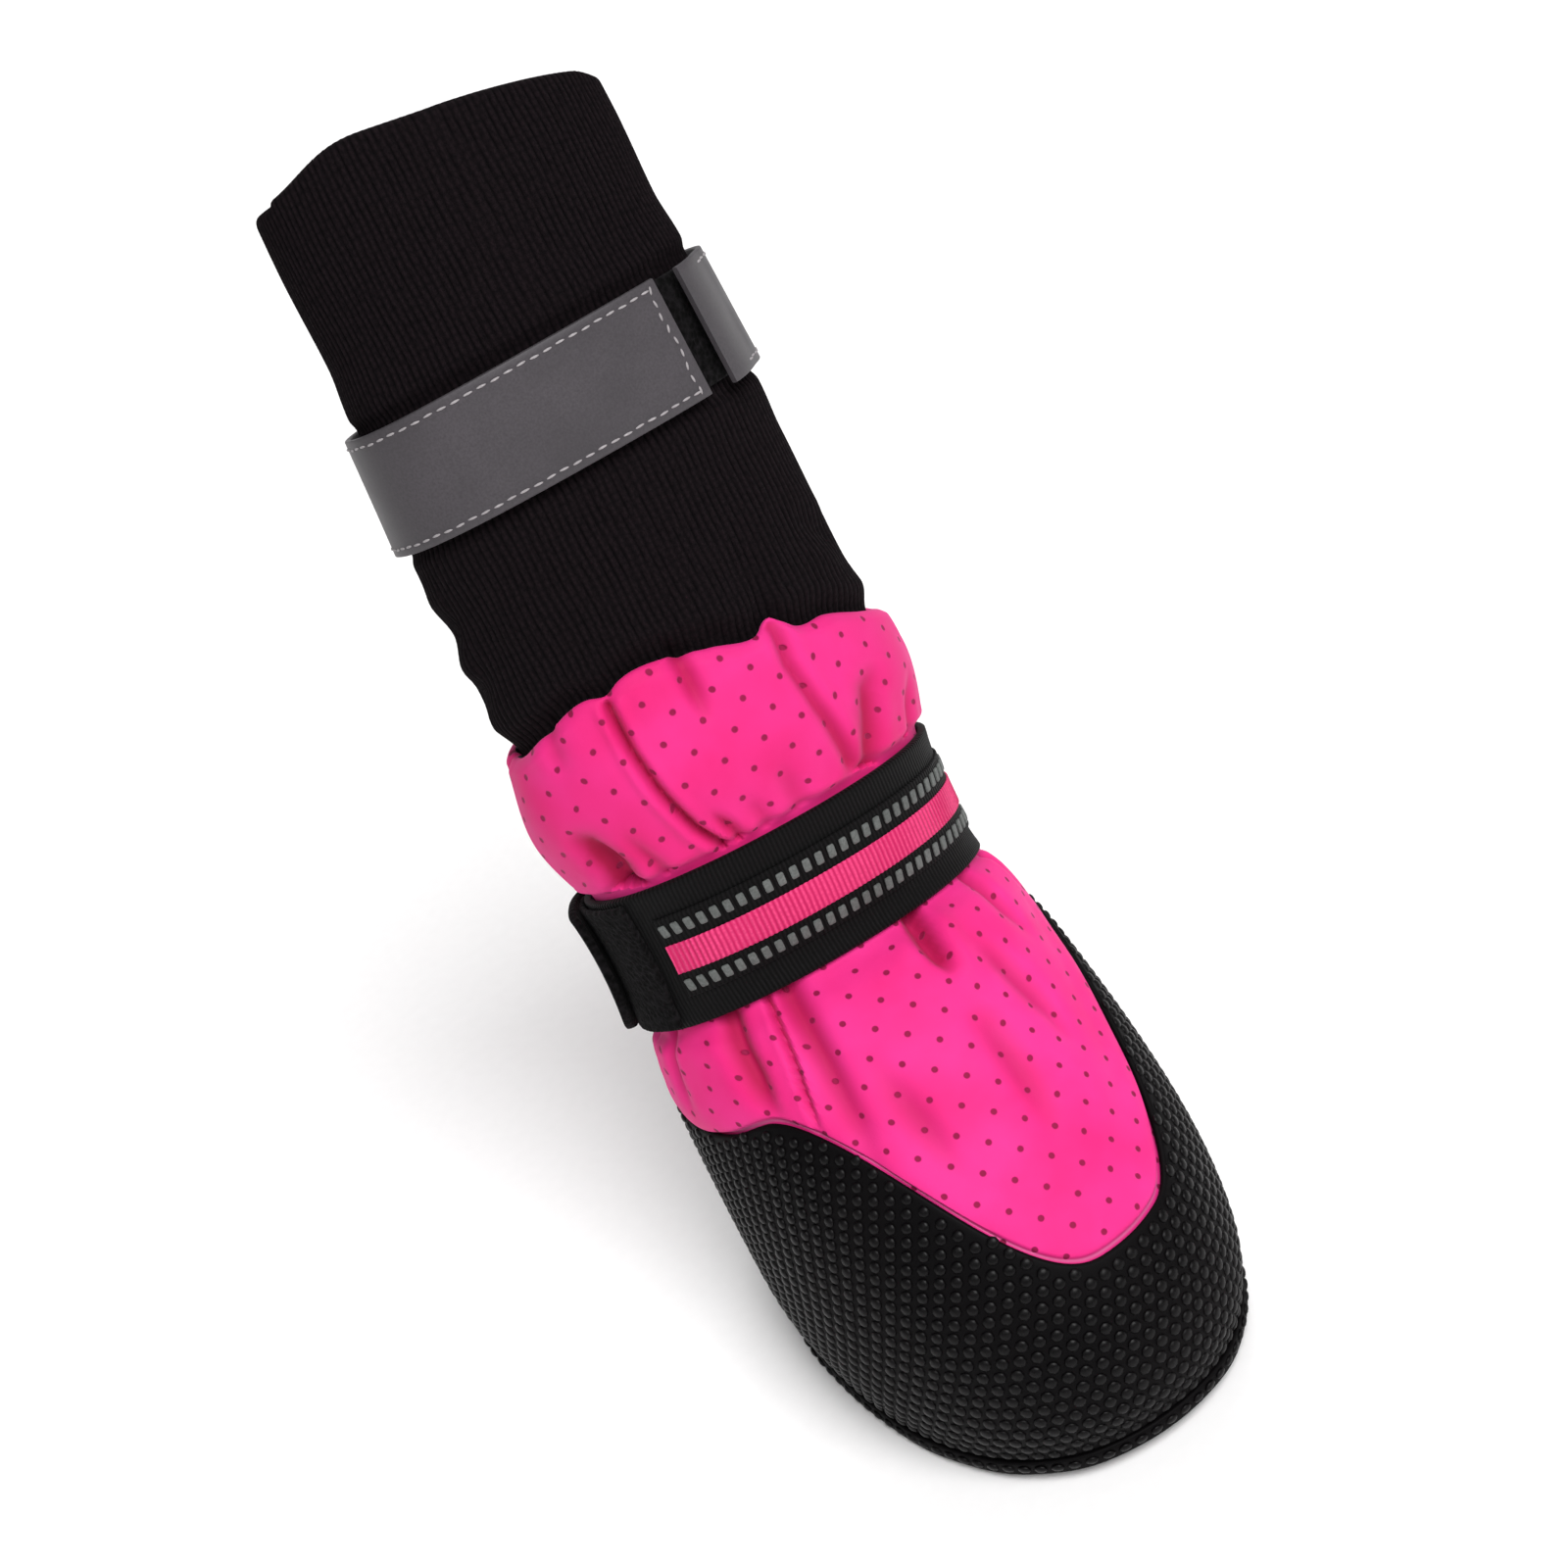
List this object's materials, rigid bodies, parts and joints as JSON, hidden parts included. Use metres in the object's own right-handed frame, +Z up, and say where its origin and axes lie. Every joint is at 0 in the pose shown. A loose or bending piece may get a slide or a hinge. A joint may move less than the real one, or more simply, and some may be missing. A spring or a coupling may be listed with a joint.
{
  "type": "dog boot",
  "caption": "Soft dog boot: perforated softshell foot with a dotted rubber rand and flat sole, a webbing ankle strap, and a rib-knit shaft with a reflective hook-and-loop strap.",
  "frame": {"origin": "on the floor, in the sole's flat underside, below the front of the ankle", "axes": "+Z up, toe towards -Y, +X to the right as the toe faces the viewer"},
  "size_m": [0.0759, 0.1206, 0.2297],
  "materials": {
    "rubber_black": "dotted matt rubber on fabric",
    "lining_grey": "brushed lining",
    "softshell_pink": "perforated softshell",
    "knit_black": "rib knit",
    "webbing_black": "woven webbing",
    "ribbon_pink": "grosgrain ribbon with reflective blocks",
    "loop_black": "fuzzy loop tape",
    "reflective_grey": "reflective coated fabric"
  },
  "bodies": {
    "root": {"outsole": "rubber_black", "rubber_rand": "rubber_black", "insole": "lining_grey", "upper": "softshell_pink", "shaft": "knit_black", "ankle_strap": "webbing_black", "ankle_tab": "webbing_black", "ankle_ribbon": "ribbon_pink", "ankle_loop_patch": "loop_black", "cuff_strap_base": "loop_black", "cuff_strap": "reflective_grey"}
  },
  "joints": []
}
